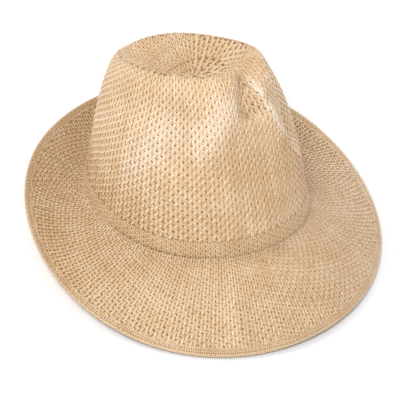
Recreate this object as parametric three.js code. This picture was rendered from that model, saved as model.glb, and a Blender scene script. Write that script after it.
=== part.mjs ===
// Wide-brim hat woven of natural paper straw, fedora shaped: one woven body (crown and brim)
// and a tight-woven band round the foot of the crown.
// Millimetres, +Z up. The wearer's front is -Y and the wearer's left is +X.
// The hat lies as it would on a table, on the front edge of its brim and the back of its foot line.
import * as THREE from 'three';

// Foot line: the oval where the crown meets the brim, higher at the front and back than at the sides
const FOOT = { halfLength: 101.3, halfWidth: 83.5, saddle: 3.8, twist: 0.7 };

// Straw wall, and the brim edge where the ends are woven back on themselves
const WALL = { thickness: 2, edgeThickness: 2.4, edgeWidth: 8 };

// Brim: width and mean slope round the head as even waves, and the bow between foot and edge
const BRIM = {
  width: { mean: 66.6, once: 17.3, twice: -6.9 },
  slopeDeg: { mean: 2, once: -44, twice: 1.2, thrice: 0.7 },
  backTrough: 7,
  frontArch: 6,
};

// Crown: how far up each wall the taper is straight rather than rounded, and the corner at its foot
const CROWN = { straightTaper: 0.38, frontCorner: 3, backCorner: 8 };

// Ridge round the top crease, one side of the head, the other side mirrored.
// The angle runs round the foot line from the front, 0, to the back, 180.
const RIDGE = [
  { angle: 0, x: 0, y: -60, z: 138 },
  { angle: 12, x: 10, y: -57, z: 142 },
  { angle: 25, x: 20, y: -49, z: 143 },
  { angle: 40, x: 28.5, y: -36, z: 141 },
  { angle: 60, x: 34.5, y: -15, z: 136.5 },
  { angle: 85, x: 36, y: 10, z: 131 },
  { angle: 110, x: 33, y: 34, z: 126 },
  { angle: 138, x: 26, y: 55, z: 121 },
  { angle: 160, x: 14, y: 70, z: 116 },
  { angle: 180, x: 0, y: 78, z: 111 },
];

// Top crease inside the ridge: its middle, its floor there, and how the floor falls to the back
// and rises to the front, by the square of the distance
const CREASE = { middleY: 2, floorZ: 113, levelY: -8, backFall: 0.0022, frontRise: 0.0235, steepness: 2.4 };

// Folds pressed into the crown by hand: each a line from one point to another, the direction that the
// straw is pushed, how far along it the push reaches, and how wide, deep and sharp-sided the fold is
const FOLDS = [
  { name: 'near_hollow', from: [9, -46, 140], to: [-10, -68, 115], push: [0.05, 0.62, -0.78],
    reach: 14, halfWidth: 11, depth: 19, sharpness: 2.2 },
  { name: 'far_pinch', from: [27, -56, 126], to: [28, -82, 84], push: [-0.5, 0.85, -0.1],
    reach: 0, halfWidth: 15, depth: 9, sharpness: 2 },
  { name: 'near_pinch', from: [-22, -80, 100], to: [-20, -92, 66], push: [0.35, 0.95, 0],
    reach: 0, halfWidth: 20, depth: 6, sharpness: 2 },
  { name: 'near_side_valley', from: [-56, -30, 112], to: [-70, -34, 82], push: [0.9, 0.4, 0],
    reach: 0, halfWidth: 14, depth: 4, sharpness: 2 },
  { name: 'near_side_waist', from: [-54, -8, 112], to: [-54, 34, 106], push: [1, 0, 0],
    reach: 0, halfWidth: 15, depth: 3, sharpness: 2 },
  { name: 'far_side_waist', from: [54, -8, 112], to: [54, 34, 106], push: [-1, 0, 0],
    reach: 0, halfWidth: 15, depth: 3, sharpness: 2 },
];

// Band: a strip of finer twill round the foot of the crown, from the corner up to its height
const BAND = { height: 17, rows: 3, clearance: 0.3, thickness: 1.2 };

// How the hat lies: turned back about X until the front edge and the back of the foot line are level,
// and flat by a fraction of a millimetre where they touch the table
const REST = { pitchDeg: -11.2, flat: 0.8 };

// Grid: columns round the head, closer together at the front, and rows from the brim edge inward
// to the middle of the crease, closer together towards the ridge
const GRID = {
  columns: 80,
  frontCrowding: 0.35,
  brimRows: 7,
  cornerRows: 2,
  wallRows: 14,
  ridgeCrowding: 1.5,
  creaseRows: 9,
};

const rad = THREE.MathUtils.degToRad;
const smooth = (x) => THREE.MathUtils.smoothstep(x, 0, 1);
const point = ([x, y, z]) => new THREE.Vector3(x, y, z);

// Foot line at an angle, and the level direction that points away from the head there
function footPoint(angle) {
  const z = FOOT.saddle * Math.cos(2 * angle) + FOOT.twist * Math.cos(3 * angle);
  return new THREE.Vector3(FOOT.halfWidth * Math.sin(angle), -FOOT.halfLength * Math.cos(angle), z);
}

function outward(angle) {
  const normal = new THREE.Vector3(Math.sin(angle) / FOOT.halfWidth, -Math.cos(angle) / FOOT.halfLength, 0);
  return normal.normalize();
}

// Brim at a share of its width, 0 at the foot line and 1 at the edge
function brimPoint(angle, share) {
  const { width: w, slopeDeg: s } = BRIM;
  const width = w.mean + w.once * Math.cos(angle) + w.twice * Math.cos(2 * angle);
  const slope = rad(s.mean + s.once * Math.cos(angle) + s.twice * Math.cos(2 * angle)
    + s.thrice * Math.cos(3 * angle));
  const back = smooth(0.8 * (1 - Math.cos(angle)) - 0.3);
  const front = smooth(0.8 * (1 + Math.cos(angle)) - 0.5);
  const bow = BRIM.backTrough * back - BRIM.frontArch * front;
  const p = footPoint(angle).addScaledVector(outward(angle), width * Math.cos(slope) * share);
  p.z += width * Math.sin(slope) * share - 4 * bow * share * (1 - share);
  return p;
}

// Smooth curve through the ridge table, mirrored to both sides of the head
const ridgeX = ridgeCurve('x', -1);
const ridgeY = ridgeCurve('y', 1);
const ridgeZ = ridgeCurve('z', 1);

function ridgeCurve(column, mirror) {
  const last = RIDGE.length - 1;
  const rows = [
    { angle: -RIDGE[1].angle, value: mirror * RIDGE[1][column] },
    ...RIDGE.map((row) => ({ angle: row.angle, value: row[column] })),
    { angle: 360 - RIDGE[last - 1].angle, value: mirror * RIDGE[last - 1][column] },
  ];
  const slopeAt = (i) => (rows[i + 1].value - rows[i - 1].value) / (rows[i + 1].angle - rows[i - 1].angle);
  return (degrees) => {
    let i = 1;
    while (i < last && degrees >= rows[i + 1].angle) i += 1;
    const a = rows[i];
    const b = rows[i + 1];
    const span = b.angle - a.angle;
    const k = (degrees - a.angle) / span;
    const value = (2 * k ** 3 - 3 * k ** 2 + 1) * a.value + (3 * k ** 2 - 2 * k ** 3) * b.value;
    return value + span * ((k ** 3 - 2 * k ** 2 + k) * slopeAt(i) + (k ** 3 - k ** 2) * slopeAt(i + 1));
  };
}

function ridgePoint(angle) {
  const degrees = Math.abs(THREE.MathUtils.radToDeg(angle));
  const side = Math.sign(angle) || 1;
  return new THREE.Vector3(side * ridgeX(degrees), ridgeY(degrees), ridgeZ(degrees));
}

// Crown wall before folding, 0 at the foot line and 1 at the ridge
function wallPoint(angle, share) {
  const foot = footPoint(angle);
  const ridge = ridgePoint(angle);
  const turn = share * Math.PI / 2;
  const inward = CROWN.straightTaper * Math.sin(turn) + (1 - CROWN.straightTaper) * (1 - Math.cos(turn));
  const p = foot.clone().lerp(ridge, inward);
  p.z = foot.z + (ridge.z - foot.z) * Math.sin(turn);
  return p;
}

// Top crease before folding, 0 at its middle and 1 at the ridge
function creasePoint(angle, share) {
  const ridge = ridgePoint(angle);
  const x = ridge.x * share;
  const y = THREE.MathUtils.lerp(CREASE.middleY, ridge.y, share);
  const behind = Math.max(0, y - CREASE.levelY);
  const ahead = Math.max(0, CREASE.levelY - y);
  const floor = CREASE.floorZ - CREASE.backFall * behind ** 2 + CREASE.frontRise * ahead ** 2;
  return new THREE.Vector3(x, y, THREE.MathUtils.lerp(floor, ridge.z, share ** CREASE.steepness));
}

// A point of the crown after every fold has pushed it, less the further it is from the fold's line.
// Within the fold's reach, a distance along the push itself doesn't count.
function folded(p) {
  const result = p.clone();
  for (const fold of FOLDS) {
    const push = point(fold.push).normalize();
    const line = new THREE.Line3(point(fold.from), point(fold.to));
    const away = p.clone().sub(line.closestPointToPoint(p, true, new THREE.Vector3()));
    const along = away.dot(push);
    away.addScaledVector(push, THREE.MathUtils.clamp(-along, -fold.reach, fold.reach));
    const share = Math.exp(-((away.length() / fold.halfWidth) ** fold.sharpness));
    result.addScaledVector(push, fold.depth * share);
  }
  return result;
}

// Rows of the hat's upper side before folding, from the brim edge to the crease, each a function
// of the angle
function upperRows() {
  const rows = [];
  for (let i = 0; i < GRID.brimRows; i += 1) {
    rows.push((angle) => {
      const corner = cornerSize(angle) / BRIM.width.mean;
      return brimPoint(angle, corner + (1 - corner) * brimShare(i));
    });
  }
  for (let i = 1; i <= GRID.cornerRows; i += 1) {
    rows.push((angle) => cornerPoint(angle, i / (GRID.cornerRows + 1)));
  }
  for (let i = 0; i < BAND.rows - 1; i += 1) {
    rows.push((angle) => {
      const bottom = wallShare(angle, cornerSize(angle));
      const share = THREE.MathUtils.lerp(bottom, bandTop(angle), i / (BAND.rows - 1));
      return wallPoint(angle, share);
    });
  }
  for (let i = 0; i < GRID.wallRows; i += 1) {
    const climbed = 1 - (1 - i / (GRID.wallRows - 1)) ** GRID.ridgeCrowding;
    rows.push((angle) => wallPoint(angle, THREE.MathUtils.lerp(bandTop(angle), 1, climbed)));
  }
  for (let i = 1; i <= GRID.creaseRows; i += 1) {
    rows.push((angle) => creasePoint(angle, 1 - i / (GRID.creaseRows + 1)));
  }
  return rows;
}

// Share of the brim's width at a row: the edge, the inner side of the woven-back edge, then even steps
function brimShare(row) {
  const edge = WALL.edgeWidth / BRIM.width.mean;
  return row === 0 ? 1 : (1 - edge) * (1 - (row - 1) / (GRID.brimRows - 2));
}

function cornerSize(angle) {
  return THREE.MathUtils.lerp(CROWN.frontCorner, CROWN.backCorner, (1 - Math.cos(angle)) / 2);
}

// Share of the wall at a height above the foot line
function wallShare(angle, height) {
  const wholeHeight = ridgePoint(angle).z - footPoint(angle).z;
  return Math.asin(height / wholeHeight) * 2 / Math.PI;
}

function bandTop(angle) {
  return wallShare(angle, BAND.height);
}

// Rounded corner between the brim and the crown wall
function cornerPoint(angle, share) {
  const onBrim = brimPoint(angle, cornerSize(angle) / BRIM.width.mean);
  const onWall = wallPoint(angle, wallShare(angle, cornerSize(angle)));
  const curve = new THREE.QuadraticBezierCurve3(onBrim, footPoint(angle), onWall);
  return curve.getPoint(share);
}

function columnAngle(column) {
  const even = 2 * Math.PI * (column / GRID.columns) - Math.PI;
  return even - GRID.frontCrowding * Math.sin(even);
}

// Direction that points out of the straw at a grid point, from its neighbours
function gridNormal(grid, apex, row, column) {
  const n = GRID.columns;
  const up = row + 1 < grid.length ? grid[row + 1][column] : apex;
  const down = grid[Math.max(row - 1, 0)][column];
  const left = grid[row][(column + n - 1) % n];
  const right = grid[row][(column + 1) % n];
  return right.clone().sub(left).cross(up.clone().sub(down)).normalize();
}

function offsetGrid(grid, apex, depthAt) {
  return grid.map((row, r) => row.map((p, c) => {
    return p.clone().addScaledVector(gridNormal(grid, apex, r, c), -depthAt(r));
  }));
}

// The hat turned to the way that it lies
function laid(p) {
  return p.clone().applyAxisAngle(new THREE.Vector3(1, 0, 0), rad(REST.pitchDeg));
}

// The hat on the table, with the middle of its outline over the origin
function settled(p) {
  const q = laid(p);
  q.y -= (extent.min.y + extent.max.y) / 2;
  q.z = Math.max(0, q.z - extent.min.z - REST.flat);
  return q;
}

// Solid from closed rings of points: each ring is joined to the next, and the first and last rings
// are joined to each other, or closed by a fan to an end point
function solidFromRings(rings, startPoint, endPoint) {
  const n = rings[0].length;
  const positions = [];
  rings.flat().forEach((p) => positions.push(p.x, p.y, p.z));
  const faces = [];
  const joinRings = (a, b) => {
    for (let c = 0; c < n; c += 1) {
      const d = (c + 1) % n;
      faces.push(a * n + c, a * n + d, b * n + d, a * n + c, b * n + d, b * n + c);
    }
  };
  for (let r = 0; r + 1 < rings.length; r += 1) joinRings(r, r + 1);
  if (startPoint) {
    const start = positions.length / 3;
    positions.push(startPoint.x, startPoint.y, startPoint.z, endPoint.x, endPoint.y, endPoint.z);
    const lastRing = (rings.length - 1) * n;
    for (let c = 0; c < n; c += 1) {
      const d = (c + 1) % n;
      faces.push(start, d, c);
      faces.push(lastRing + c, lastRing + d, start + 1);
    }
  } else {
    joinRings(rings.length - 1, 0);
  }
  const geometry = new THREE.BufferGeometry();
  geometry.setAttribute('position', new THREE.Float32BufferAttribute(positions, 3));
  geometry.setIndex(faces);
  geometry.computeVertexNormals();
  return geometry;
}

const angles = Array.from({ length: GRID.columns }, (_, column) => columnAngle(column));
const shape = upperRows().map((row) => angles.map(row));
const shapeApex = creasePoint(0, 0);
const thicknessAt = (row) => (row < 2 ? WALL.edgeThickness : WALL.thickness);
const foldedGrid = (grid) => grid.map((row) => row.map(folded));
const upper = foldedGrid(shape);
const lower = foldedGrid(offsetGrid(shape, shapeApex, thicknessAt));
const lowerApex = folded(shapeApex.clone().setZ(shapeApex.z - WALL.thickness));
const extent = new THREE.Box3().setFromPoints([...upper.flat(), ...lower.flat()].map(laid));

// Hat body: the under side from the crease out to the edge, then the upper side back to the crease
function hatBody() {
  const rings = [...lower.slice().reverse(), ...upper].map((ring) => ring.map(settled));
  const geometry = solidFromRings(rings, settled(lowerApex), settled(folded(shapeApex)));
  const straw = new THREE.MeshStandardMaterial({ color: 0xd9b98c, roughness: 0.75, metalness: 0 });
  const mesh = new THREE.Mesh(geometry, straw);
  mesh.name = 'hat_body';
  return mesh;
}

// Crown band: the wall's own rows moved out, so that it follows the crown with an even clearance
function crownBand() {
  const first = GRID.brimRows + GRID.cornerRows;
  const rows = shape.slice(first, first + BAND.rows);
  const shifted = (distance) => rows.map((row, r) => row.map((p, c) => {
    const normal = gridNormal(shape, shapeApex, first + r, c);
    return settled(folded(p.clone().addScaledVector(normal, distance)));
  }));
  const inner = shifted(BAND.clearance);
  const outer = shifted(BAND.clearance + BAND.thickness);
  const geometry = solidFromRings([...inner.reverse(), ...outer]);
  const twill = new THREE.MeshStandardMaterial({ color: 0xcfae80, roughness: 0.8, metalness: 0 });
  const mesh = new THREE.Mesh(geometry, twill);
  mesh.name = 'crown_band';
  return mesh;
}

const hat = new THREE.Group();
hat.add(hatBody(), crownBand());
export default hat;
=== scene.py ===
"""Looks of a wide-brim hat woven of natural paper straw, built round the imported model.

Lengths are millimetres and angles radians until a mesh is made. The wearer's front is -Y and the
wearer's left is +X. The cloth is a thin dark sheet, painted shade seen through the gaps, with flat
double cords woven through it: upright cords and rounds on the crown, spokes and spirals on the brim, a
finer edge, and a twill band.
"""
import math
from collections import namedtuple

import bpy
import numpy as np
from mathutils import Matrix, Vector


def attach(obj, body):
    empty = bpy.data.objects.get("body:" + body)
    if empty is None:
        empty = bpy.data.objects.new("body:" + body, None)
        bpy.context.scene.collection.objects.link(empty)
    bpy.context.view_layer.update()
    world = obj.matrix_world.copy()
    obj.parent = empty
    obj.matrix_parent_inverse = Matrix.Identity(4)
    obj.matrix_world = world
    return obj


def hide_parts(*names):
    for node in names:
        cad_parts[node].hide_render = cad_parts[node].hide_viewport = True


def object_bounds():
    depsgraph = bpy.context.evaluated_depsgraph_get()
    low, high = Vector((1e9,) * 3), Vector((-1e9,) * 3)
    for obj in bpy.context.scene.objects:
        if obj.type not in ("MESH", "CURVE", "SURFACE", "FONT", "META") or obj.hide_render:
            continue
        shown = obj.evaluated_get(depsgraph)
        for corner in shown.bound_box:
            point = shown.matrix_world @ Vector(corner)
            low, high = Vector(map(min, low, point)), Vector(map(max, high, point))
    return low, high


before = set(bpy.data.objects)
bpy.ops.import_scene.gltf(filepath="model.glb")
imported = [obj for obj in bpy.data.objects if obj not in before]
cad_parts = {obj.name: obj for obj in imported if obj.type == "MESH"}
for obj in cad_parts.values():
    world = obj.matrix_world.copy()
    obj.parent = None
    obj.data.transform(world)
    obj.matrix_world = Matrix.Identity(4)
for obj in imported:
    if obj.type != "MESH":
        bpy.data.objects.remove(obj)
cad_low, cad_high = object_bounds()

MM = 0.001
FULL_TURN = 2 * math.pi

# The hat's own sizes, as in the source of the solids
FOOT = {"half_length": 101.3, "half_width": 83.5, "saddle": 3.8, "twist": 0.7}
BRIM_WIDTH_WAVES = (66.6, 17.3, -6.9)
BRIM_SLOPE_WAVES = (2.0, -44.0, 1.2, 0.7)
BOW = {"back_trough": 7.0, "front_arch": 6.0, "spread": 0.8, "back_start": 0.3, "front_start": 0.5}
STRAIGHT_TAPER = 0.38
FRONT_CORNER = 3.0
BACK_CORNER = 8.0
BAND_HEIGHT = 17.0
REST_PITCH = math.radians(-11.2)

# Ridge round the top crease: angle from the front in degrees, then x, y and z
RIDGE = np.array([
    (0, 0, -60, 138),
    (12, 10, -57, 142),
    (25, 20, -49, 143),
    (40, 28.5, -36, 141),
    (60, 34.5, -15, 136.5),
    (85, 36, 10, 131),
    (110, 33, 34, 126),
    (138, 26, 55, 121),
    (160, 14, 70, 116),
    (180, 0, 78, 111),
], float)

CREASE = {"middle_y": 2, "floor_z": 113, "level_y": -8, "back_fall": 0.0022, "front_rise": 0.0235,
          "steepness": 2.4}

# Folds pressed into the crown: a path and the way that it is pushed
Fold = namedtuple("Fold", "path push reach half_width depth sharpness")
FOLDS = (
    # Hollow of the front pinch on the wearer's right
    Fold(((2, -51, 143), (-6, -58, 140), (-12, -64, 132), (-14, -68, 121)), (0.05, 0.62, -0.78), 6, 9.5, 15,
         2),
    # Hollow of the front pinch on the wearer's left
    Fold(((27, -56, 126), (28, -82, 84)), (-0.5, 0.85, -0.1), 0, 15, 9, 2),
    # Soft dents in the front wall and the right wall
    Fold(((-22, -80, 100), (-20, -92, 66)), (0.35, 0.95, 0), 0, 20, 6, 2),
    Fold(((-56, -30, 112), (-70, -34, 82)), (0.9, 0.4, 0), 0, 14, 4, 2),
    # Sides drawn in below the top
    Fold(((-54, -8, 112), (-54, 34, 106)), (1, 0, 0), 0, 15, 3, 2),
    Fold(((54, -8, 112), (54, 34, 106)), (-1, 0, 0), 0, 15, 3, 2),
    # Crisp ridge down the front
    Fold(((2, -52, 144), (-2, -62, 138), (-5, -72, 126), (1, -82, 101), (11, -86, 85), (24, -86, 64)),
         (-0.2, -0.8, 0.6), 0, 5, 7, 1.3),
    # Shallow valley and soft swell on the right of the front
    Fold(((-50, -31, 111), (-63, -43, 58)), (0.8, 0.6, 0), 0, 8, 2, 2),
    Fold(((-27, -67, 117), (-52, -51, 84), (-67, -33, 56)), (-0.7, -0.7, 0.1), 0, 12, 2.2, 2),
)

# Places of painted light on the straw: a painted highlight where the strength is above zero, painted shade
# where it is below zero
PaintedLight = namedtuple("PaintedLight", "path half_width strength")
PAINTED_LIGHT = (
    # Painted highlight along the crisp ridge
    PaintedLight(((1, -51, 141), (-3, -60, 133), (-6, -76, 128), (0, -87, 105), (10, -91, 89), (23, -91, 68)),
         3.2, 0.75),
    # Painted reflection, whitish, to either side of the shallow valley
    PaintedLight(((-57, -19, 100), (-70, 1, 64)), 15, 0.36),
    PaintedLight(((-31, -60, 122), (-44, -52, 104), (-51, -50, 90)), 11, 0.32),
    # Painted shade, browner, at the foot of the front wall
    PaintedLight(((-30, -82, 60), (8, -92, 62), (35, -82, 45)), 24, -0.7),
)

# Cloth: how deep its middle lies under the outside of the solid, how deep the brim's underside lies
# under that middle, and the thickness of its dark sheet, painted shade seen through the gaps
CLOTH = {"middle_depth": 1.0, "brim_underside": 1.4, "gap_shade_thickness": 0.4}

# Cords of each part: thickness, rise over a crossing, lift of its middle off the cloth's, share of
# the pitch that it covers, the widest that it gets where the cloth is stretched, how far a crossing
# leans to the side as a share of the pitch, and the corners of its section
Cord = namedtuple("Cord", "thickness rise lift cover widest lean corners")
CROWN_UPRIGHT = Cord(1.15, 0.5, 0.18, 0.9, 3.3, 0.12, 8)
CROWN_ROUND = Cord(1.05, 0.42, -0.18, 0.96, 3.6, -0.04, 6)
BRIM_SPOKE = Cord(1.1, 0.5, 0.1, 0.8, 2.7, 0.08, 8)
BRIM_SPIRAL = Cord(1.1, 0.5, -0.1, 0.82, 3.0, -0.04, 6)
EDGE_SPOKE = Cord(0.9, 0.4, 0.08, 0.84, 1.8, 0.06, 6)
EDGE_ROUND = Cord(0.9, 0.38, -0.08, 0.84, 1.9, 0, 6)
BAND_CORD = Cord(0.85, 0.34, 0, 0.76, 1.7, 0, 6)

# Counts of cords, and how far they go under the band and past the edge strip's inner side. A spiral
# and a spoke have two samples for each crossing, enough for the longest one
CROWN = {"uprights": 144, "rounds": 57, "first_round": 1, "under_band": 7.0}
BRIM = {"spokes": 272, "spirals": 88, "spiral_rows_per_mm": 0.27, "under_band": 4.0,
        "spiral_past": 0.4, "spoke_past": 0.6, "spiral_samples": 240, "spoke_samples": 52,
        "tightest_angle": -0.86, "looser": 0.25}
EDGE = {"width": 7.0, "spokes": 544, "rounds": 3, "rim_radius": 0.8, "rim_samples": 1200}
BAND = {"diagonals": 150, "rows_per_mm": 0.43, "lift": 0.7}

# Up to which round of the crown, from its middle, one upright stands for how many
CROWN_DROPS = ((4, 8), (8, 4), (15, 2))

# How the uprights and spokes crowd to the front: sines of once and twice the angle
CROWN_CROWDING = (0.12, 0.05)
BRIM_CROWDING = (0.1, 0.025)

# Drift of a cord's tone along it: random knots, and their share in the tone
TONE_KNOTS = 12
TONE_DRIFT = 0.5

# Seeds of the random draws
STRAY_SEED = {"uprights": 12, "rounds": 20, "spirals": 35, "spokes": 36, "edge_spokes": 45, "edge_rounds": 46}
TONE_SEED = {"uprights": 14, "rounds": 30, "spirals": 31, "spokes": 32, "edge_spokes": 41, "edge_rounds": 42,
             "rim": 43, "band_rising": 51, "band_falling": 52}


def waves(angle, terms):
    """Sum of the terms times the cosine of 0, 1, 2 ... times the angle."""
    return sum(term * np.cos(order * angle) for order, term in enumerate(terms))


def smooth(x):
    """Smooth step from 0 to 1: three times the square less twice the cube."""
    x = np.clip(x, 0, 1)
    return x * x * (3 - 2 * x)


def alternate(number):
    """1 for an even number and -1 for an odd one."""
    return np.where(number % 2 == 0, 1, -1)


def foot_line(angle):
    """Oval where the crown meets the brim, higher at the front and back than at the sides."""
    return np.stack([
        FOOT["half_width"] * np.sin(angle),
        -FOOT["half_length"] * np.cos(angle),
        FOOT["saddle"] * np.cos(2 * angle) + FOOT["twist"] * np.cos(3 * angle),
    ], -1)


def outward(angle):
    """Level direction away from the head: the oval's own normal."""
    normal = np.stack([
        np.sin(angle) / FOOT["half_width"],
        -np.cos(angle) / FOOT["half_length"],
        np.zeros_like(angle),
    ], -1)
    return normal / np.linalg.norm(normal, axis=-1, keepdims=True)


def brim_width(angle):
    """Width of the brim: a sum of cosines of the angle."""
    return waves(angle, BRIM_WIDTH_WAVES)


def brim_point(angle, share):
    """Brim from the foot line, share 0, to the edge, share 1: a slope that changes round the head,
    bowed down at the back and up in front by a parabola."""
    slope = np.radians(waves(angle, BRIM_SLOPE_WAVES))
    back = smooth(BOW["spread"] * (1 - np.cos(angle)) - BOW["back_start"])
    front = smooth(BOW["spread"] * (1 + np.cos(angle)) - BOW["front_start"])
    bow = BOW["back_trough"] * back - BOW["front_arch"] * front
    reach = brim_width(angle) * share
    point = foot_line(angle) + outward(angle) * (reach * np.cos(slope))[..., None]
    point[..., 2] += reach * np.sin(slope) - 4 * bow * share * (1 - share)
    return point


def ridge_point(angle):
    """Smooth cubic through the ridge table, the same on both sides of the head apart from x's sign."""
    degrees = np.degrees(np.abs(angle))
    table_angle = RIDGE[:, 0]
    row = np.clip(np.searchsorted(table_angle, degrees, side="right") - 1, 0, len(RIDGE) - 2)
    span = table_angle[row + 1] - table_angle[row]
    k = (degrees - table_angle[row]) / span
    around = np.concatenate([[-table_angle[1]], table_angle, [360 - table_angle[-2]]])
    coordinates = []
    for column, mirror in ((1, -1), (2, 1), (3, 1)):
        value = RIDGE[:, column]
        padded = np.concatenate([[mirror * value[1]], value, [mirror * value[-2]]])
        slope = (padded[2:] - padded[:-2]) / (around[2:] - around[:-2])
        coordinates.append(
            (2 * k**3 - 3 * k**2 + 1) * value[row] + (3 * k**2 - 2 * k**3) * value[row + 1]
            + span * ((k**3 - 2 * k**2 + k) * slope[row] + (k**3 - k**2) * slope[row + 1])
        )
    coordinates[0] = coordinates[0] * np.where(angle < 0, -1.0, 1.0)
    return np.stack(coordinates, -1)


def wall_point(angle, share):
    """Crown wall from the foot line, share 0, to the ridge, share 1: part straight taper, part
    quarter ellipse."""
    foot, ridge = foot_line(angle), ridge_point(angle)
    turn = share * math.pi / 2
    inward = STRAIGHT_TAPER * np.sin(turn) + (1 - STRAIGHT_TAPER) * (1 - np.cos(turn))
    point = foot + (ridge - foot) * inward[..., None]
    point[..., 2] = foot[..., 2] + (ridge[..., 2] - foot[..., 2]) * np.sin(turn)
    return point


def crease_point(angle, share):
    """Top crease from its middle, share 0, to the ridge, share 1: a floor that falls to the back and
    climbs to the front, raised towards the ridge by a power of the share."""
    ridge = ridge_point(angle)
    y = CREASE["middle_y"] + (ridge[..., 1] - CREASE["middle_y"]) * share
    behind = np.maximum(0, y - CREASE["level_y"])
    ahead = np.maximum(0, CREASE["level_y"] - y)
    floor = CREASE["floor_z"] - CREASE["back_fall"] * behind**2 + CREASE["front_rise"] * ahead**2
    height = floor + (ridge[..., 2] - floor) * share ** CREASE["steepness"]
    return np.stack([ridge[..., 0] * share, y, height], -1)


def path_distance(points, path, push, reach):
    """Distance of each point from a path of straight stretches. Within the reach a distance along the
    push doesn't count."""
    path = np.array(path, float)
    distance = np.full(points.shape[:-1], np.inf)
    for start, line in zip(path, np.diff(path, axis=0)):
        share = np.clip((points - start) @ line / (line @ line), 0, 1)
        away = points - (start + share[..., None] * line)
        back = np.clip(-(away @ push), -reach, reach)
        distance = np.minimum(distance, np.linalg.norm(away + back[..., None] * push, axis=-1))
    return distance


def folded(points):
    """Pushes each point along every fold's direction, by a bell curve of its distance from the
    fold's path."""
    result = points.copy()
    for fold in FOLDS:
        push = np.array(fold.push, float)
        push /= np.linalg.norm(push)
        distance = path_distance(points, fold.path, push, fold.reach)
        bell = np.exp(-((distance / fold.half_width) ** fold.sharpness))
        result += push * (fold.depth * bell)[..., None]
    return result


def painted_light(points):
    """Painted light at each point: the sum over the places of painted light of a bell curve of its distance
    from the place's path, above zero for a painted highlight and below zero for painted shade."""
    amount = np.zeros(points.shape[:-1])
    for place in PAINTED_LIGHT:
        distance = path_distance(points, place.path, np.zeros(3), 0)
        amount += place.strength * np.exp(-((distance / place.half_width) ** 2))
    return amount


def corner_size(angle):
    """Size of the corner between brim and wall, from front to back by a cosine."""
    return FRONT_CORNER + (BACK_CORNER - FRONT_CORNER) * (1 - np.cos(angle)) / 2


def wall_share(angle, height):
    """Share of the wall at a height above the foot line: an arcsine of the height over the whole."""
    whole = ridge_point(angle)[..., 2] - foot_line(angle)[..., 2]
    return np.arcsin(height / whole) * 2 / math.pi


def corner_point(angle, share):
    """Rounded corner from the brim, share 0, to the wall, share 1: a parabola under the foot line."""
    start = brim_point(angle, corner_size(angle) / BRIM_WIDTH_WAVES[0])
    end = wall_point(angle, wall_share(angle, corner_size(angle)))
    k = share[..., None]
    return start * (1 - k) ** 2 + 2 * foot_line(angle) * k * (1 - k) + end * k**2


def crown_profile(angle, step):
    """Crown from the middle of the crease, step 0, over the ridge, step 1, and down the wall to under
    the band, step 2."""
    bottom = wall_share(angle, corner_size(angle) + CROWN["under_band"])
    in_crease = crease_point(angle, np.clip(step, 0, 1))
    on_wall = wall_point(angle, 1 + (bottom - 1) * np.clip(step - 1, 0, 1))
    return np.where((step <= 1)[..., None], in_crease, on_wall)


def brim_profile(angle, step):
    """Brim from under the band, step 0, round the corner between steps 1 and 2, to the edge, step 3."""
    corner = corner_size(angle)
    top, bottom = wall_share(angle, corner + BRIM["under_band"]), wall_share(angle, corner)
    on_wall = wall_point(angle, top + (bottom - top) * np.clip(step, 0, 1))
    in_corner = corner_point(angle, 1 - np.clip(step - 1, 0, 1))
    start = corner / BRIM_WIDTH_WAVES[0]
    on_brim = brim_point(angle, start + (1 - start) * np.clip(step - 2, 0, 1))
    return np.where((step <= 1)[..., None], on_wall, np.where((step <= 2)[..., None], in_corner, on_brim))


def band_profile(angle, step):
    """Strip of the wall that the band covers, from its lower edge, step 0, to its upper edge, step 1."""
    bottom = wall_share(angle, corner_size(angle))
    return wall_point(angle, bottom + (wall_share(angle, BAND_HEIGHT) - bottom) * step)


Sheet = namedtuple("Sheet", "points normals lengths")


def unit(vectors):
    """Vectors divided by their lengths."""
    return vectors / np.maximum(np.linalg.norm(vectors, axis=-1, keepdims=True), 1e-9)


def grid_normals(points):
    """Outward normals of a table of points, whose first index runs round the head with its last
    column on its first, and whose second index runs away from the middle of the crown."""
    round_head = np.roll(points[:-1], -1, 0) - np.roll(points[:-1], 1, 0)
    round_head = np.concatenate([round_head, round_head[:1]])
    away = np.gradient(points, axis=1)
    normals = unit(np.cross(away, round_head))
    if np.ptp(points[:, 0], axis=0).max() < 1e-6:
        normals[:, 0] = unit(normals[:-1, 2].mean(0))
    return normals


def make_sheet(profile, steps, columns, rows, outward_shift):
    """Table of a cloth: the profile at even angles, shifted along its normal by one distance or by one
    for each step, folded, and spread so that each column has even steps along its length."""
    angle = np.linspace(-math.pi, math.pi, columns + 1)[:, None] + np.zeros(len(steps))
    plain = profile(angle, np.broadcast_to(steps, angle.shape))
    shaped = folded(plain + grid_normals(plain) * np.reshape(outward_shift, (-1, 1)))
    lengths = np.linalg.norm(np.diff(shaped, axis=1), axis=-1).cumsum(1)
    lengths = np.concatenate([np.zeros((columns + 1, 1)), lengths], 1)
    even = np.linspace(0, 1, rows + 1)
    points = np.stack([
        np.stack([np.interp(even * run[-1], run, column[:, axis]) for axis in range(3)], -1)
        for run, column in zip(lengths, shaped)
    ])
    return Sheet(points, grid_normals(points), lengths[:, -1])


def on_sheet(sheet, angle, fraction):
    """Point and normal of a sheet at an angle and a fraction of the column's length, by straight
    interpolation between the four nearest entries of its table."""
    columns, rows = sheet.points.shape[0] - 1, sheet.points.shape[1] - 1
    x = (angle + math.pi) / FULL_TURN % 1 * columns
    y = np.clip(fraction, 0, 1) * rows
    column = np.minimum(x.astype(int), columns - 1)
    row = np.minimum(y.astype(int), rows - 1)
    u, v = (x - column)[..., None], (y - row)[..., None]
    found = []
    for table in (sheet.points, sheet.normals):
        near = table[column, row] * (1 - u) + table[column + 1, row] * u
        far = table[column, row + 1] * (1 - u) + table[column + 1, row + 1] * u
        found.append(near * (1 - v) + far * v)
    return found[0], unit(found[1])


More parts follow.
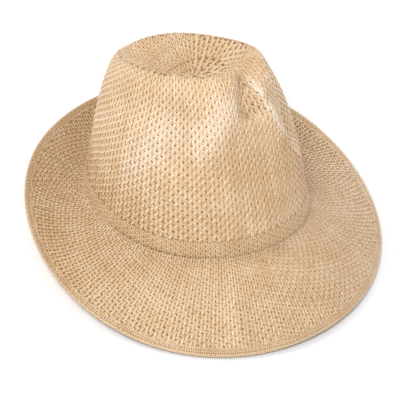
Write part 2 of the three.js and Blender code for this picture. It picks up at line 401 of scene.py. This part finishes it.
def length_at(sheet, angle):
    """Length of a sheet's column at an angle, by straight interpolation."""
    columns = len(sheet.lengths) - 1
    return np.interp((angle + math.pi) / FULL_TURN % 1 * columns, np.arange(columns + 1), sheet.lengths)


# Steps of each profile. The crown's are closest together at the ridge, and the band's run from its
# upper edge, flush with the wall, to its lower edge, lifted off it
CROWN_STEPS = np.concatenate([np.linspace(0, 1, 160)[:-1] ** 0.8, 1 + np.linspace(0, 1, 200) ** 1.3])
BRIM_STEPS = np.concatenate([[0, 0.25, 0.5, 0.75], np.linspace(1, 2, 12)[:-1], np.linspace(2, 3, 60)])
BAND_STEPS = np.linspace(1, 0, 12)
INWARD = -CLOTH["middle_depth"]
BAND_LIFT = BAND["lift"] * (1 - BAND_STEPS**4)
crown_sheet = make_sheet(crown_profile, CROWN_STEPS, columns=900, rows=380, outward_shift=INWARD)
brim_sheet = make_sheet(brim_profile, BRIM_STEPS, columns=900, rows=120, outward_shift=INWARD)
band_sheet = make_sheet(band_profile, BAND_STEPS, columns=900, rows=24, outward_shift=BAND_LIFT)


def laid(points):
    """Turns the hat about X to the way that it lies."""
    c, s = math.cos(REST_PITCH), math.sin(REST_PITCH)
    x, y, z = points[..., 0], points[..., 1], points[..., 2]
    return np.stack([x, y * c - z * s, y * s + z * c], -1)


def rest_shift():
    """Shift that puts the laid hat where the solid is: its outline's middle over the origin and its
    highest point at the solid's."""
    outer = [laid(s.points + s.normals * CLOTH["middle_depth"]) for s in (crown_sheet, brim_sheet)]
    inner = laid(brim_sheet.points - brim_sheet.normals * CLOTH["brim_underside"])
    y = np.concatenate([outer[1][..., 1].ravel(), inner[..., 1].ravel()])
    middle = (cad_low.y + cad_high.y) / 2 / MM
    return np.array([0, middle - (y.min() + y.max()) / 2, cad_high.z / MM - outer[0][..., 2].max()])


SHIFT = rest_shift()


def settled(points):
    """Place in the shared frame of points of the hat, none of them under the table."""
    placed = laid(points) + SHIFT
    placed[..., 2] = np.maximum(placed[..., 2], 0)
    return placed


def new_piece(name, points, quads, material, replaced, attributes=(), uv=None):
    """Mesh object of four-sided faces from whole arrays, riding on the hat and standing for a node.
    The UV map has a pair for each corner of each face."""
    mesh = bpy.data.meshes.new(name)
    mesh.vertices.add(len(points))
    mesh.vertices.foreach_set("co", (settled(points) * MM).astype(np.float32).ravel())
    mesh.loops.add(quads.size)
    mesh.loops.foreach_set("vertex_index", quads.astype(np.int32).ravel())
    mesh.polygons.add(len(quads))
    mesh.polygons.foreach_set("loop_start", np.arange(0, quads.size, 4, dtype=np.int32))
    mesh.update(calc_edges=True)
    mesh.polygons.foreach_set("use_smooth", np.ones(len(quads), bool))
    for key, values in attributes:
        layer = mesh.attributes.new(key, "FLOAT", "POINT")
        layer.data.foreach_set("value", values.astype(np.float32))
    if uv is not None:
        layer = mesh.uv_layers.new(name="UVMap")
        layer.data.foreach_set("uv", uv.astype(np.float32).ravel())
    mesh.materials.append(material)
    piece = bpy.data.objects.new(name, mesh)
    bpy.context.scene.collection.objects.link(piece)
    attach(piece, "root")
    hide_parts(replaced)
    return piece


def section(corners):
    """Round section of a cord: places across its width and up from its middle, each as a share of
    half its size, from one side over the top."""
    turn = np.linspace(0, FULL_TURN, corners, endpoint=False)
    return np.stack([-np.cos(turn), np.sin(turn)], -1)


def cord_rings(centre, normal, along, across, cord, lift, tight=1.0):
    """Rings of a cord: at each sample the section, as wide as its share of the way across to the next
    cord times how tight the cloth is, square to the way along, and lifted off the cloth's middle."""
    along = unit(along)
    across = across - (across * along).sum(-1, keepdims=True) * along
    pitch = np.linalg.norm(across, axis=-1)
    side = unit(across)
    up = unit(np.cross(along, side))
    up *= np.sign((up * normal).sum(-1, keepdims=True))
    half_width = np.minimum(pitch * cord.cover, cord.widest) * tight / 2
    middle = centre + up * (lift + cord.lift)[..., None]
    shape = section(cord.corners)
    spread = side[..., None, :] * (half_width[..., None] * shape[:, 0])[..., None]
    rise = up[..., None, :] * (cord.thickness / 2 * shape[:, 1])[:, None]
    return middle[..., None, :] + spread + rise


def cord_faces(rings, alive, travel, closed):
    """Faces between neighbouring living rings of each cord, strips that close each end, and for each
    face corner the way along the cord and round its section."""
    cords, samples = alive.shape
    corners = rings.shape[2]
    first = (np.arange(cords * samples) * corners).reshape(cords, samples)
    following = np.roll(first, -1, 1)
    further = np.roll(travel, -1, 1)
    if closed:
        further[:, -1] = travel[:, -1] * samples / (samples - 1)
    joined = alive & np.roll(alive, -1, 1)
    if not closed:
        joined[:, -1] = False
    corner = np.arange(corners)
    after = (corner + 1) % corners
    a, b = first[joined][:, None], following[joined][:, None]
    sides = np.stack([a + corner, b + corner, b + after, a + after], -1).reshape(-1, 4)
    u, v = travel[joined][:, None] + 0 * corner, further[joined][:, None] + 0 * corner
    around = (corner / corners + 0 * u, (corner + 1) / corners + 0 * u)
    side_uv = np.stack([
        np.stack([u, v, v, u], -1), np.stack([around[0], around[0], around[1], around[1]], -1)
    ], -1).reshape(-1, 4, 2)
    step = np.arange(corners // 2 - 1)[:, None]
    strips = np.concatenate([step, step + 1, corners - 2 - step, corners - 1 - step], 1)
    starts, ends = alive & ~np.roll(joined, 1, 1), alive & ~joined
    start_caps = (first[starts][:, None, None] + strips[:, ::-1]).reshape(-1, 4)
    end_caps = (first[ends][:, None, None] + strips).reshape(-1, 4)
    caps = np.concatenate([start_caps, end_caps])
    quads = np.concatenate([sides, caps])
    uv = np.concatenate([side_uv, np.zeros((len(caps), 4, 2))])
    points = rings.reshape(-1, 3)
    face = points[sides[0]]
    outside = np.cross(face[2] - face[0], face[3] - face[1])
    ring = rings.reshape(-1, corners, 3)[np.argmax(joined.ravel())]
    if outside @ (face.mean(0) - ring.mean(0)) < 0:
        quads, uv = quads[:, ::-1], uv[:, ::-1]
    return quads, uv


def woven(name, rings, alive, tone, travel, material, replaced, closed=False):
    """One mesh of all cords of a family, with each cord's tone less its painted shade, its painted
    highlight, and its way along and round."""
    alive = alive & np.ones(rings.shape[:2], bool)
    quads, uv = cord_faces(rings, alive, travel, closed)
    points = rings.reshape(-1, 3)
    used = np.zeros(len(points), bool)
    used[quads.ravel()] = True
    index = np.cumsum(used) - 1
    amount = painted_light(points)
    # Painted shade lowers each cord's random tone, and the painted highlight is kept as an attribute of its
    # own
    tones = np.repeat(tone.ravel(), rings.shape[2]) + np.minimum(amount, 0)
    attributes = [("tone", tones[used]), ("painted_highlight", np.maximum(amount, 0)[used])]
    return new_piece(name, points[used], index[quads], material, replaced, attributes, uv)


def travelled(centre):
    """Distance along each cord from its first sample, in millimetres."""
    steps = np.linalg.norm(np.diff(centre, axis=1), axis=-1)
    return np.concatenate([np.zeros((len(centre), 1)), steps.cumsum(1)], 1)


def cord_tones(count, samples, seed, low=0.0, high=1.0):
    """A random tone from low to high for each cord, that drifts a little along it."""
    rng = np.random.default_rng(seed)
    base = rng.uniform(0, 1, (count, 1))
    knots = rng.uniform(-0.5, 0.5, (count, TONE_KNOTS))
    place = np.linspace(0, TONE_KNOTS - 1, samples)
    drift = np.stack([np.interp(place, np.arange(TONE_KNOTS), row) for row in knots])
    return low + (high - low) * np.clip(base + drift * TONE_DRIFT, 0, 1)


def stray(count, samples, knots, amount, seed):
    """How far each cord strays sideways from its even place, as a share of the pitch: straight
    between random knots, and back to its start at the end."""
    rng = np.random.default_rng(seed)
    table = rng.normal(0, amount, (count, knots + 1))
    table[:, -1] = table[:, 0]
    place = np.linspace(0, knots, samples)
    return np.stack([np.interp(place, np.arange(knots + 1), row) for row in table])


def crowding(angle, once, twice):
    """Cord count up to an angle as a share of the whole, crowded by sines of the angle."""
    return (angle + once * np.sin(angle) + twice * np.sin(2 * angle)) / FULL_TURN


def angle_of(count, total, once, twice):
    """Angle at which a cord count is reached, read back from the crowding curve. It goes on past
    one turn."""
    table = np.linspace(-math.pi, math.pi, 4001)
    share = count / total
    turns = np.floor(share + 0.5)
    return np.interp(share - turns, crowding(table, once, twice), table) + turns * FULL_TURN


def crown_level(row):
    """How many uprights of the full set one upright stands for, by the round: fewer near the middle."""
    ends, levels = zip(*CROWN_DROPS)
    return np.select([row < end for end in ends], levels, 1)


def crown_uprights(material):
    """Uprights of the crown: cords of constant angle from the middle of the crease to under the band,
    over and under the rounds in turn. Each begins where the rounds before it leave room."""
    count, rounds = CROWN["uprights"], CROWN["rounds"]
    pieces = []
    for name, parity in (("even", 0), ("odd", 1)):
        number = np.arange(parity, count, 2)[:, None] - count // 2
        row = (np.arange(CROWN["first_round"], 2 * rounds + 1) / 2)[None, :] + 0.0 * number
        level = crown_level(row)
        sign = alternate(number // level)
        lean = CROWN_UPRIGHT.lean * level * np.sin(math.pi * row) * sign
        seed = STRAY_SEED["uprights"] + parity
        strayed = number + lean + stray(len(number), row.shape[1], knots=14, amount=0.05, seed=seed)
        angle = angle_of(strayed, count, *CROWN_CROWDING)
        alive = number % level == 0
        centre, normal = on_sheet(crown_sheet, angle, row / rounds)
        before, after = (on_sheet(crown_sheet, angle, (row + k) / rounds)[0] for k in (-0.5, 0.5))
        wide = math.pi / count * level
        left, right = (on_sheet(crown_sheet, angle + k * wide, row / rounds)[0] for k in (-1, 1))
        lift = -CROWN_UPRIGHT.rise * np.cos(math.pi * row) * sign
        rings = cord_rings(centre, normal, after - before, right - left, CROWN_UPRIGHT, lift)
        # Random tone for each upright, in a paler range than the rounds': painted highlight on the uprights'
        # over-crossings
        tone = cord_tones(len(number), row.shape[1], TONE_SEED["uprights"] + parity, low=0.45, high=1.1)
        pieces.append(woven("crown_uprights_" + name, rings, alive, tone, travelled(centre), material,
                            "hat_body"))
    return pieces


def crown_rounds(material):
    """Rounds of the crown: closed cords at even shares of the way from the middle of the crease to
    under the band, under and over the uprights in turn."""
    count, rounds = CROWN["uprights"], CROWN["rounds"]
    rows = np.arange(CROWN["first_round"], rounds)
    middle, inner, upper, full = (rows[crown_level(rows) == level] for level in (8, 4, 2, 1))
    families = (("middle", 8, middle), ("inner", 4, inner), ("upper", 2, upper), ("even", 1, full[::2]),
                ("odd", 1, full[1::2]))
    pieces = []
    for place, (name, level, own_rows) in enumerate(families):
        row = own_rows[:, None].astype(float)
        number = (np.arange(0, 2 * count // level) * level / 2 - count // 2)[None, :] + 0.0 * row
        angle = angle_of(number, count, *CROWN_CROWDING)
        sign = alternate(row)
        lean = CROWN_ROUND.lean * np.sin(math.pi * number / level) * sign
        seed = STRAY_SEED["rounds"] + place
        strayed = row + lean + stray(len(row), number.shape[1], knots=40 // level, amount=0.07, seed=seed)
        centre, normal = on_sheet(crown_sheet, angle, strayed / rounds)
        turn = math.pi / count * level
        before, after = (on_sheet(crown_sheet, angle + k * turn, strayed / rounds)[0] for k in (-0.5, 0.5))
        above, below = (on_sheet(crown_sheet, angle, (strayed + k) / rounds)[0] for k in (-0.5, 0.5))
        lift = CROWN_ROUND.rise * np.cos(math.pi * number / level) * sign
        rings = cord_rings(centre, normal, after - before, below - above, CROWN_ROUND, lift)
        # Random tone for each round, in a browner range than the uprights', against which their painted
        # highlight shows
        tone = cord_tones(len(row), number.shape[1], TONE_SEED["rounds"] + place, low=-0.2, high=0.4)
        alive = np.ones(number.shape, bool)
        pieces.append(woven("crown_rounds_" + name, rings, alive, tone, -travelled(centre), material,
                            "hat_body", closed=True))
    return pieces


SPIRAL_PER_RADIAN = BRIM["spirals"] / FULL_TURN


def brim_room(angle):
    """Length of the brim's weave at an angle, up to the edge strip."""
    return length_at(brim_sheet, angle) - EDGE["width"]


def brim_place(angle, distance):
    """Point and normal of the brim at an angle and a distance from where it starts under the band."""
    return on_sheet(brim_sheet, angle, distance / length_at(brim_sheet, angle))


def brim_tightness(angle):
    """How tight the brim's cloth is: 1 at its tightest angle, to the wearer's front right, and looser
    towards the opposite side by a cosine."""
    return 1 - BRIM["looser"] / 2 * (1 - np.cos(angle - BRIM["tightest_angle"]))


def brim_spirals(material):
    """Spirals of the brim: cords that drift outward evenly as they run round the head, over and under
    the spokes in turn. Each starts under the band and ends along the edge strip's inner side."""
    count, spokes = BRIM["spirals"], BRIM["spokes"]
    per_mm = BRIM["spiral_rows_per_mm"]
    longest = BRIM["spiral_samples"]
    number = np.arange(count)[:, None]
    begin = np.ceil(2 * spokes * -number / count)
    spoke = (begin + np.arange(longest)[None, :]) / 2
    angle = angle_of(spoke, spokes, *BRIM_CROWDING)
    free = (number + SPIRAL_PER_RADIAN * angle) / per_mm
    room = brim_room(angle)
    alive = (free >= 0) & (free <= room + 1 / per_mm)
    sign = alternate(number)
    lean = BRIM_SPIRAL.lean * np.sin(math.pi * spoke) * sign
    strays = stray(count, longest, knots=30, amount=0.07, seed=STRAY_SEED["spirals"])
    strayed = free + (lean + strays) / per_mm
    distance = np.clip(strayed, 0, room + BRIM["spiral_past"])
    centre, normal = brim_place(angle, distance)
    step = math.pi / spokes
    drift = np.where(free < room, SPIRAL_PER_RADIAN * step / per_mm, 0)
    before, after = (brim_place(angle + k * step, distance + k * drift)[0] for k in (-1, 1))
    inner, outer = (brim_place(angle, distance + k / per_mm)[0] for k in (-0.5, 0.5))
    lift = BRIM_SPIRAL.rise * np.cos(math.pi * spoke) * sign
    tight = brim_tightness(angle)
    rings = cord_rings(centre, normal, after - before, outer - inner, BRIM_SPIRAL, lift, tight)
    tone = cord_tones(count, longest, TONE_SEED["spirals"], low=-0.1, high=0.6)
    return woven("brim_spirals", rings, alive, tone, -travelled(centre), material, "hat_body")


def brim_spokes(material):
    """Spokes of the brim: cords of constant angle from under the band to the edge strip, under and
    over the spirals in turn."""
    count, per_mm = BRIM["spokes"], BRIM["spiral_rows_per_mm"]
    number = np.arange(count)[:, None] - count // 2
    angle = angle_of(number, count, *BRIM_CROWDING)
    begin = np.ceil(-2 * SPIRAL_PER_RADIAN * angle)
    spiral = (begin + np.arange(BRIM["spoke_samples"])[None, :]) / 2
    free = (spiral + SPIRAL_PER_RADIAN * angle) / per_mm
    sign = alternate(number)
    lean = BRIM_SPOKE.lean * np.sin(math.pi * spiral) * sign
    strays = stray(count, spiral.shape[1], knots=8, amount=0.06, seed=STRAY_SEED["spokes"])
    angle = angle_of(number + lean + strays, count, *BRIM_CROWDING)
    room = brim_room(angle)
    alive = free <= room + 0.5 / per_mm
    distance = np.minimum(free, room + BRIM["spoke_past"])
    centre, normal = brim_place(angle, distance)
    before, after = (brim_place(angle, distance + k)[0] for k in (-1, 1))
    step = math.pi / count
    left, right = (brim_place(angle + k * step, distance)[0] for k in (-1, 1))
    lift = -BRIM_SPOKE.rise * np.cos(math.pi * spiral) * sign
    tight = brim_tightness(angle)
    rings = cord_rings(centre, normal, after - before, right - left, BRIM_SPOKE, lift, tight)
    tone = cord_tones(count, spiral.shape[1], TONE_SEED["spokes"], low=0.3, high=1)
    return woven("brim_spokes", rings, alive, tone, travelled(centre), material, "hat_body")


def edge_strip(material):
    """Edge strip: fine spokes and rounds in plain weave, where the cords' ends are woven back. The
    spokes run out to the brim's edge."""
    spokes, rounds, width = EDGE["spokes"], EDGE["rounds"], EDGE["width"]
    pitch = (width - EDGE["rim_radius"]) / rounds
    number = np.arange(spokes)[:, None] - spokes // 2
    row = (np.arange(2 * rounds + 2) / 2)[None, :] + 0.0 * number
    strays = stray(spokes, row.shape[1], knots=3, amount=0.08, seed=STRAY_SEED["edge_spokes"])
    angle = angle_of(number + strays, spokes, *BRIM_CROWDING)
    distance = np.minimum(brim_room(angle) + row * pitch, length_at(brim_sheet, angle))
    centre, normal = brim_place(angle, distance)
    before, after = (brim_place(angle, distance + k)[0] for k in (-1, 0))
    left, right = (brim_place(angle + k * math.pi / spokes, distance)[0] for k in (-1, 1))
    lift = -EDGE_SPOKE.rise * np.sin(math.pi * row) * alternate(number)
    rings = cord_rings(centre, normal, after - before, right - left, EDGE_SPOKE, lift)
    tone = cord_tones(spokes, row.shape[1], TONE_SEED["edge_spokes"])
    spoke_piece = woven("edge_spokes", rings, np.ones(row.shape, bool), tone, travelled(centre), material,
                        "hat_body")

    row = np.arange(rounds)[:, None] + 0.5
    number = (np.arange(2 * spokes) / 2 - spokes // 2)[None, :] + 0.0 * row
    angle = angle_of(number, spokes, *BRIM_CROWDING)
    strays = stray(rounds, number.shape[1], knots=90, amount=0.08, seed=STRAY_SEED["edge_rounds"])
    distance = brim_room(angle) + (row + strays) * pitch
    centre, normal = brim_place(angle, distance)
    before, after = (brim_place(angle + k * 0.01, distance)[0] for k in (-1, 1))
    inner, outer = (brim_place(angle, distance + k * pitch)[0] for k in (-0.5, 0.5))
    lift = EDGE_ROUND.rise * np.cos(math.pi * number) * alternate(row - 0.5)
    rings = cord_rings(centre, normal, after - before, outer - inner, EDGE_ROUND, lift)
    tone = cord_tones(rounds, number.shape[1], TONE_SEED["edge_rounds"])
    round_piece = woven("edge_rounds", rings, np.ones(number.shape, bool), tone, -travelled(centre),
                        material, "hat_body", closed=True)
    return [spoke_piece, round_piece]


def rim_cord(material):
    """Rim: one round cord along the brim's edge."""
    samples, radius = EDGE["rim_samples"], EDGE["rim_radius"]
    angle = np.linspace(-math.pi, math.pi, samples + 1)[None, :-1]
    distance = length_at(brim_sheet, angle) - radius
    centre, normal = brim_place(angle, distance)
    before, after = (brim_place(angle + k * 0.005, distance)[0] for k in (-1, 1))
    outer = centre - brim_place(angle, distance - 1)[0]
    cord = Cord(2 * radius, 0, 0, 2 * radius, 2 * radius, 0, 8)
    rings = cord_rings(centre, normal, after - before, outer, cord, 0.0 * angle)
    tone = cord_tones(1, samples, TONE_SEED["rim"])
    return woven("rim_cord", rings, np.ones(angle.shape, bool), tone, -travelled(centre), material,
                 "hat_body", closed=True)


def crown_band(material):
    """Band: two families of fine cords that cross on the slant, one climbing as it runs round the head
    and the other falling."""
    count, per_mm = BAND["diagonals"], BAND["rows_per_mm"]
    per_radian = count / FULL_TURN
    rows = per_mm * (BAND_HEIGHT - FRONT_CORNER)
    pieces = []
    for name, way in (("band_rising", 1), ("band_falling", -1)):
        number = np.arange(count)[:, None]
        other = (np.arange(int(4 * rows) + 3)[None, :]) / 2 + 0.0 * number
        climb = other / 2
        share = np.minimum(climb / rows, 1)
        angle = (number + way * climb) / per_radian
        centre, normal = on_sheet(band_sheet, angle, share)
        step = 0.25
        before, after = (
            on_sheet(band_sheet, angle + way * k * step / per_radian, climb / rows + k * step / rows)[0]
            for k in (-1, 1))
        left, right = (on_sheet(band_sheet, angle + k * 0.5 / per_radian, share)[0] for k in (-1, 1))
        lift = way * BAND_CORD.rise * np.cos(math.pi * other) * alternate(number)
        rings = cord_rings(centre, normal, after - before, right - left, BAND_CORD, lift)
        tone = cord_tones(count, other.shape[1], TONE_SEED[name])
        alive = climb <= rows + step
        pieces.append(woven(name, rings, alive, tone, way * travelled(centre), material, "crown_band"))
    return pieces


def gap_shade_shell(name, tables, material, replaced):
    """Closed dark sheet, painted shade seen through the gaps between the cords, half its thickness to
    either side of a table of points and normals: the outer side, the inner side turned over, and strips
    that join their edges."""
    points, normals = tables
    thickness = CLOTH["gap_shade_thickness"]
    ring = points.shape[0] - 1
    rows = points.shape[1]
    outer = points[:-1] + normals[:-1] * thickness / 2
    inner = points[:-1] - normals[:-1] * thickness / 2
    index = np.arange(ring * rows).reshape(ring, rows)
    following = np.roll(index, -1, 0)
    faces = np.stack([index[:, :-1], index[:, 1:], following[:, 1:], following[:, :-1]], -1).reshape(-1, 4)
    under = faces[:, ::-1] + ring * rows
    edges = []
    for row, flip in ((0, True), (rows - 1, False)):
        a, b = index[:, row], following[:, row]
        edge = np.stack([a, a + ring * rows, b + ring * rows, b], -1)
        edges.append(edge[:, ::-1] if flip else edge)
    quads = np.concatenate([faces, under, *edges])
    every = np.concatenate([outer.reshape(-1, 3), inner.reshape(-1, 3)])
    return new_piece(name, every, quads, material, replaced)


def thinned(sheet, columns, rows):
    """A sheet's points and normals at even, wider steps."""
    angle = np.linspace(-math.pi, math.pi, columns + 1)[:, None] + np.zeros(rows + 1)
    fraction = np.linspace(0, 1, rows + 1)[None, :] + np.zeros_like(angle)
    return on_sheet(sheet, angle, fraction)


# Colours of the whitish painted highlight on the straw, of its pale and warm tones, and of the dark
# sheet behind the cords, painted shade seen through the gaps
PAINTED_HIGHLIGHT_COLOUR = (0.92, 0.84, 0.73)
STRAW_TONES = ((0.82, 0.62, 0.41), (0.62, 0.38, 0.18))
TWILL_TONES = ((0.86, 0.64, 0.41), (0.70, 0.45, 0.23))
GAP_SHADE_COLOUR = (0.27, 0.16, 0.075)

# Noise of the straw: cycles per metre, and where its share in the colour starts and how far it goes
FIBRES = {"scale": 1400, "detail": 2, "start": 0.85, "range": 0.3, "height": 0.25}
CLOUDS = {"scale": 40, "detail": 3, "start": -0.3, "range": 1.1}

# Share of a cord's own tone in the mix, and the painted highlight on the top of a ply
OWN_TONE = 0.55
PLY_TOP_HIGHLIGHT = 1.06

BUMP = {"Strength": 0.8, "Distance": 0.0005}
GLOSS = {"Specular IOR Level": 0.5, "Coat Weight": 0.3, "Coat Roughness": 0.3}


def straw_group():
    """Colour and height of a paper cord. Its two plies turn round each other: the height is a sine of
    the way round its section plus the way along it, the groove between the plies is darkened with painted
    shade and their tops are lightened a little as a painted highlight. A pale and a warm tone are mixed
    by the cord's own tone and by slow cloudy noise, and the tops of the plies get a whitish painted
    highlight where the places of painted highlight lie."""
    group = bpy.data.node_groups.new("straw_plies", "ShaderNodeTree")
    face = group.interface
    for name in ("Pale", "Warm"):
        face.new_socket(name, in_out="INPUT", socket_type="NodeSocketColor")
    for name in ("Lay", "GrooveShade"):
        face.new_socket(name, in_out="INPUT", socket_type="NodeSocketFloat")
    face.new_socket("Color", in_out="OUTPUT", socket_type="NodeSocketColor")
    face.new_socket("Height", in_out="OUTPUT", socket_type="NodeSocketFloat")
    nodes, links = group.nodes, group.links
    given, made = nodes.new("NodeGroupInput"), nodes.new("NodeGroupOutput")

    def math_node(operation, first, second, third=None):
        """Result of one math operation on numbers or sockets."""
        node = nodes.new("ShaderNodeMath")
        node.operation = operation
        for socket, value in zip(node.inputs, (first, second, third)):
            if isinstance(value, (int, float)):
                socket.default_value = value
            elif value is not None:
                links.new(value, socket)
        return node.outputs[0]

    def noise(look):
        """Smooth random value from 0 to 1 at a place on the piece."""
        node = nodes.new("ShaderNodeTexNoise")
        node.inputs["Scale"].default_value = look["scale"]
        node.inputs["Detail"].default_value = look["detail"]
        links.new(coordinates.outputs["Object"], node.inputs["Vector"])
        return node.outputs["Fac"]

    coordinates = nodes.new("ShaderNodeTexCoord")
    tone = nodes.new("ShaderNodeAttribute")
    tone.attribute_name = "tone"
    split = nodes.new("ShaderNodeSeparateXYZ")
    links.new(coordinates.outputs["UV"], split.inputs[0])
    along = math_node("DIVIDE", split.outputs["X"], given.outputs["Lay"])
    phase = math_node("MULTIPLY_ADD", split.outputs["Y"], 2.0, along)
    ply = math_node("MULTIPLY_ADD", math_node("SINE", math_node("MULTIPLY", phase, FULL_TURN), 0), 0.5, 0.5)
    fibres, clouds = noise(FIBRES), noise(CLOUDS)
    cloud_share = math_node("MULTIPLY_ADD", clouds, CLOUDS["range"], CLOUDS["start"])
    blend = math_node("MULTIPLY_ADD", tone.outputs["Fac"], OWN_TONE, cloud_share)
    mix = nodes.new("ShaderNodeMix")
    mix.data_type = "RGBA"
    links.new(blend, mix.inputs["Factor"])
    links.new(given.outputs["Warm"], mix.inputs["A"])
    links.new(given.outputs["Pale"], mix.inputs["B"])
    # Painted shade darkens the groove between the plies, and their tops get a slight painted highlight
    depth = math_node("MULTIPLY", math_node("SUBTRACT", 1.0, ply), given.outputs["GrooveShade"])
    ply_shading = math_node("SUBTRACT", PLY_TOP_HIGHLIGHT, depth)
    fibre_share = math_node("MULTIPLY_ADD", fibres, FIBRES["range"], FIBRES["start"])
    ply_shading_and_fibres = math_node("MULTIPLY", ply_shading, fibre_share)
    shade = nodes.new("ShaderNodeVectorMath")
    shade.operation = "SCALE"
    links.new(mix.outputs["Result"], shade.inputs[0])
    links.new(ply_shading_and_fibres, shade.inputs["Scale"])
    # Painted highlight: the tops of the plies are mixed towards a whitish colour as strongly as the painted
    # highlight attribute says
    painted_highlight = nodes.new("ShaderNodeAttribute")
    painted_highlight.attribute_name = "painted_highlight"
    highlight_share = math_node("MULTIPLY", painted_highlight.outputs["Fac"], math_node("MULTIPLY_ADD", ply, 0.5, 0.5))
    highlight_mix = nodes.new("ShaderNodeMix")
    highlight_mix.data_type = "RGBA"
    highlight_mix.inputs["B"].default_value = (*PAINTED_HIGHLIGHT_COLOUR, 1)
    links.new(highlight_share, highlight_mix.inputs["Factor"])
    links.new(shade.outputs["Vector"], highlight_mix.inputs["A"])
    links.new(highlight_mix.outputs["Result"], made.inputs["Color"])
    links.new(math_node("MULTIPLY_ADD", fibres, FIBRES["height"], ply), made.inputs["Height"])
    return group


def straw_material(name, group, tones, roughness, lay, groove_shade):
    """Satin paper straw: the ply group's colour, and its height as a bump."""
    pale, warm = tones
    material = bpy.data.materials.new(name)
    material.use_nodes = True
    nodes, links = material.node_tree.nodes, material.node_tree.links
    shader = nodes["Principled BSDF"]
    plies = nodes.new("ShaderNodeGroup")
    plies.node_tree = group
    plies.inputs["Pale"].default_value = (*pale, 1)
    plies.inputs["Warm"].default_value = (*warm, 1)
    plies.inputs["Lay"].default_value = lay
    plies.inputs["GrooveShade"].default_value = groove_shade
    bump = nodes.new("ShaderNodeBump")
    for key, value in BUMP.items():
        bump.inputs[key].default_value = value
    links.new(plies.outputs["Color"], shader.inputs["Base Color"])
    links.new(plies.outputs["Height"], bump.inputs["Height"])
    links.new(bump.outputs["Normal"], shader.inputs["Normal"])
    shader.inputs["Roughness"].default_value = roughness
    for key, value in GLOSS.items():
        shader.inputs[key].default_value = value
    return material


def plain_material(name, colour, roughness):
    """One even colour and roughness."""
    material = bpy.data.materials.new(name)
    material.use_nodes = True
    shader = material.node_tree.nodes["Principled BSDF"]
    shader.inputs["Base Color"].default_value = (*colour, 1)
    shader.inputs["Roughness"].default_value = roughness
    return material


def make_camera():
    """Camera of the photograph: fitted round the hat's own frame, then turned and shifted with it."""
    azimuth, elevation, roll = -0.8566, 0.6315, 0.0069
    distance = 1130.84
    focal_pixels, frame_pixels = 1338.77, 400
    middle_pixels = (195.4174, 192.0161)
    back = np.array([
        math.sin(azimuth) * math.cos(elevation),
        -math.cos(azimuth) * math.cos(elevation),
        math.sin(elevation),
    ])
    right = np.array([math.cos(azimuth), math.sin(azimuth), 0])
    up = np.cross(back, right)
    rolled_right = math.cos(roll) * right + math.sin(roll) * up
    rolled_up = np.cross(back, rolled_right)
    data = bpy.data.cameras.new("camera")
    data.sensor_width = 36
    data.lens = data.sensor_width * focal_pixels / frame_pixels
    data.shift_x = (frame_pixels / 2 - middle_pixels[0]) / frame_pixels
    data.shift_y = (middle_pixels[1] - frame_pixels / 2) / frame_pixels
    data.clip_end = 20
    camera = bpy.data.objects.new("camera", data)
    bpy.context.scene.collection.objects.link(camera)
    turned = Matrix([[*laid(axis)] for axis in (rolled_right, rolled_up, back)]).transposed()
    place = (laid(back * distance) + SHIFT) * MM
    camera.matrix_world = Matrix.Translation(Vector(place)) @ turned.to_4x4()
    bpy.context.scene.camera = camera
    return camera


# Metres from the origin to each light, and the white round the hat
LIGHT_DISTANCE = 1.4
SURROUND_STRENGTH = 0.66
FLOOR_COLOUR = (0.94, 0.94, 0.95)


def soft_light(name, size, power, direction):
    """Round area light in a direction from the hat, turned to it."""
    data = bpy.data.lights.new(name, "AREA")
    data.shape = "DISK"
    data.size = size
    data.energy = power
    light = bpy.data.objects.new(name, data)
    bpy.context.scene.collection.objects.link(light)
    light.location = direction.normalized() * LIGHT_DISTANCE
    light.rotation_mode = "QUATERNION"
    light.rotation_quaternion = light.location.to_track_quat("Z", "Y")


def make_stage(camera):
    """White floor, an even white surround and three soft lights: from the camera's upper left, from
    beside the camera, and from behind the hat on the right. The Standard view transform keeps the
    white ground white."""
    bpy.ops.mesh.primitive_plane_add(size=12)
    floor = bpy.context.object
    floor.name = "floor"
    floor.data.materials.append(plain_material("white_floor", FLOOR_COLOUR, roughness=0.9))
    world = bpy.data.worlds.new("studio")
    world.use_nodes = True
    background = world.node_tree.nodes["Background"]
    background.inputs["Color"].default_value = (1, 1, 1, 1)
    background.inputs["Strength"].default_value = SURROUND_STRENGTH
    bpy.context.scene.world = world
    bpy.context.scene.view_settings.view_transform = "Standard"
    axes = camera.matrix_world.to_3x3()
    right, up, back = axes.col[0], axes.col[1], axes.col[2]
    soft_light("key", size=0.7, power=4.6, direction=back * 0.5 - right * 0.7 + up * 0.7)
    soft_light("front", size=0.4, power=9.2, direction=back - right * 0.12 + up * 0.2)
    soft_light("behind", size=0.7, power=5.6, direction=right * 0.6 + up * 0.6 - back * 0.4)


camera = make_camera()
make_stage(camera)

plies = straw_group()
straw = straw_material("natural_straw", plies, STRAW_TONES, roughness=0.38, lay=5.0, groove_shade=0.25)
twill = straw_material("twill_straw", plies, TWILL_TONES, roughness=0.42, lay=3.0, groove_shade=0.25)
# Dark sheet under the cords: painted shade seen through the gaps
gap_shade = plain_material("painted_gap_shade", GAP_SHADE_COLOUR, roughness=0.8)

crown_table = thinned(crown_sheet, columns=150, rows=80)
brim_table = thinned(brim_sheet, columns=150, rows=24)
band_table = thinned(band_sheet, columns=150, rows=5)
straw_pieces = [*crown_uprights(straw), *crown_rounds(straw), brim_spirals(straw), brim_spokes(straw)]
straw_pieces += [*edge_strip(straw), rim_cord(straw)]
straw_pieces.append(gap_shade_shell("crown_gap_shade", crown_table, gap_shade, "hat_body"))
straw_pieces.append(gap_shade_shell("brim_gap_shade", brim_table, gap_shade, "hat_body"))
band_pieces = crown_band(twill)
band_pieces.append(gap_shade_shell("band_gap_shade", band_table, gap_shade, "crown_band"))
